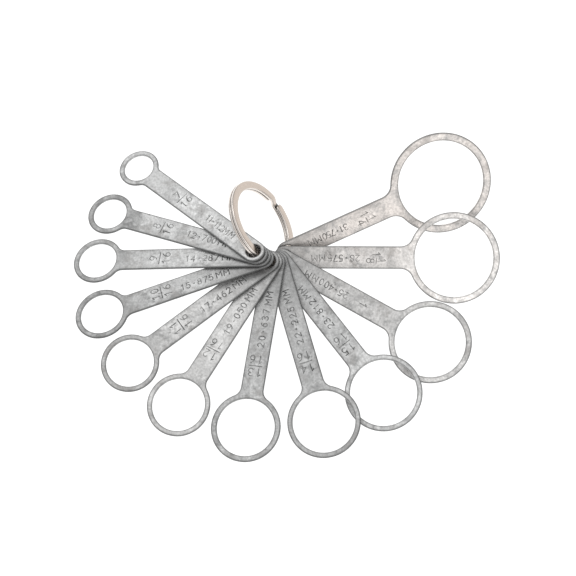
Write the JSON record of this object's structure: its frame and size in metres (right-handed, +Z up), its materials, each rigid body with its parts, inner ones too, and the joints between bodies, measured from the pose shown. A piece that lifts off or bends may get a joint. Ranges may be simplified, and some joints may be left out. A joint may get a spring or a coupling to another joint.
{
  "type": "ring sizing gauge set",
  "caption": "Fan of flat metal ring sizing gauges, each a round bore on a flat handle, swinging on a split key ring.",
  "frame": {"origin": "on the bench, under the middle of the whole set's bounding box", "axes": "+Z up from the bench the set lies on, +X to the right along the fan's longest side, +Y towards its back"},
  "size_m": [0.1556, 0.1216, 0.0271],
  "materials": {
    "gauge_metal": "tumbled grey, lightly mottled",
    "ring_nickel": "bright nickel plate"
  },
  "bodies": {
    "key_ring": {"split_ring": "ring_nickel"},
    "gauge_7_16_body": {"gauge_7_16": "gauge_metal"},
    "gauge_8_16_body": {"gauge_8_16": "gauge_metal"},
    "gauge_9_16_body": {"gauge_9_16": "gauge_metal"},
    "gauge_10_16_body": {"gauge_10_16": "gauge_metal"},
    "gauge_11_16_body": {"gauge_11_16": "gauge_metal"},
    "gauge_12_16_body": {"gauge_12_16": "gauge_metal"},
    "gauge_13_16_body": {"gauge_13_16": "gauge_metal"},
    "gauge_14_16_body": {"gauge_14_16": "gauge_metal"},
    "gauge_15_16_body": {"gauge_15_16": "gauge_metal"},
    "gauge_1_body": {"gauge_1": "gauge_metal"},
    "gauge_1_1_8_body": {"gauge_1_1_8": "gauge_metal"},
    "gauge_1_1_4_body": {"gauge_1_1_4": "gauge_metal"}
  },
  "joints": [
    {"name": "swing_7_16", "type": "hinge", "parent": "key_ring", "child": "gauge_7_16_body", "pos_m": [-0.01147, 0.01224, 0.01977], "axis": [-0.2278, 0.1183, 0.9665], "range_deg": [-20, 231]},
    {"name": "swing_8_16", "type": "hinge", "parent": "key_ring", "child": "gauge_8_16_body", "pos_m": [-0.01038, 0.01165, 0.01863], "axis": [-0.2278, 0.1183, 0.9665], "range_deg": [-39, 212]},
    {"name": "swing_9_16", "type": "hinge", "parent": "key_ring", "child": "gauge_9_16_body", "pos_m": [-0.0093, 0.01124, 0.01747], "axis": [-0.2278, 0.1183, 0.9665], "range_deg": [-57, 194]},
    {"name": "swing_10_16", "type": "hinge", "parent": "key_ring", "child": "gauge_10_16_body", "pos_m": [-0.00824, 0.01101, 0.01629], "axis": [-0.2278, 0.1183, 0.9665], "range_deg": [-78, 173]},
    {"name": "swing_11_16", "type": "hinge", "parent": "key_ring", "child": "gauge_11_16_body", "pos_m": [-0.00636, 0.01102, 0.01413], "axis": [-0.1409, -0.0898, 0.9859], "range_deg": [0, 154]},
    {"name": "swing_12_16", "type": "hinge", "parent": "key_ring", "child": "gauge_12_16_body", "pos_m": [-0.00529, 0.01128, 0.01284], "axis": [-0.1373, -0.0978, 0.9857], "range_deg": [-19, 132]},
    {"name": "swing_13_16", "type": "hinge", "parent": "key_ring", "child": "gauge_13_16_body", "pos_m": [-0.00424, 0.01174, 0.01154], "axis": [-0.1303, -0.1137, 0.9849], "range_deg": [-42, 109]},
    {"name": "swing_14_16", "type": "hinge", "parent": "key_ring", "child": "gauge_14_16_body", "pos_m": [-0.00323, 0.0124, 0.01023], "axis": [-0.1196, -0.1376, 0.9832], "range_deg": [-67, 84]},
    {"name": "swing_15_16", "type": "hinge", "parent": "key_ring", "child": "gauge_15_16_body", "pos_m": [-0.00224, 0.0133, 0.0089], "axis": [-0.1016, -0.1771, 0.9789], "range_deg": [-88, 63]},
    {"name": "swing_1", "type": "hinge", "parent": "key_ring", "child": "gauge_1_body", "pos_m": [-0.00132, 0.01445, 0.00761], "axis": [-0.0798, -0.2241, 0.9713], "range_deg": [-111, 41]},
    {"name": "swing_1_1_8", "type": "hinge", "parent": "key_ring", "child": "gauge_1_1_8_body", "pos_m": [-0.00035, 0.01615, 0.00615], "axis": [-0.017, -0.3534, 0.9353], "range_deg": [-140, 11]},
    {"name": "swing_1_1_4", "type": "hinge", "parent": "key_ring", "child": "gauge_1_1_4_body", "pos_m": [0.00065, 0.01905, 0.00441], "axis": [0.1404, -0.6399, 0.7555], "range_deg": [-165, 17]}
  ]
}
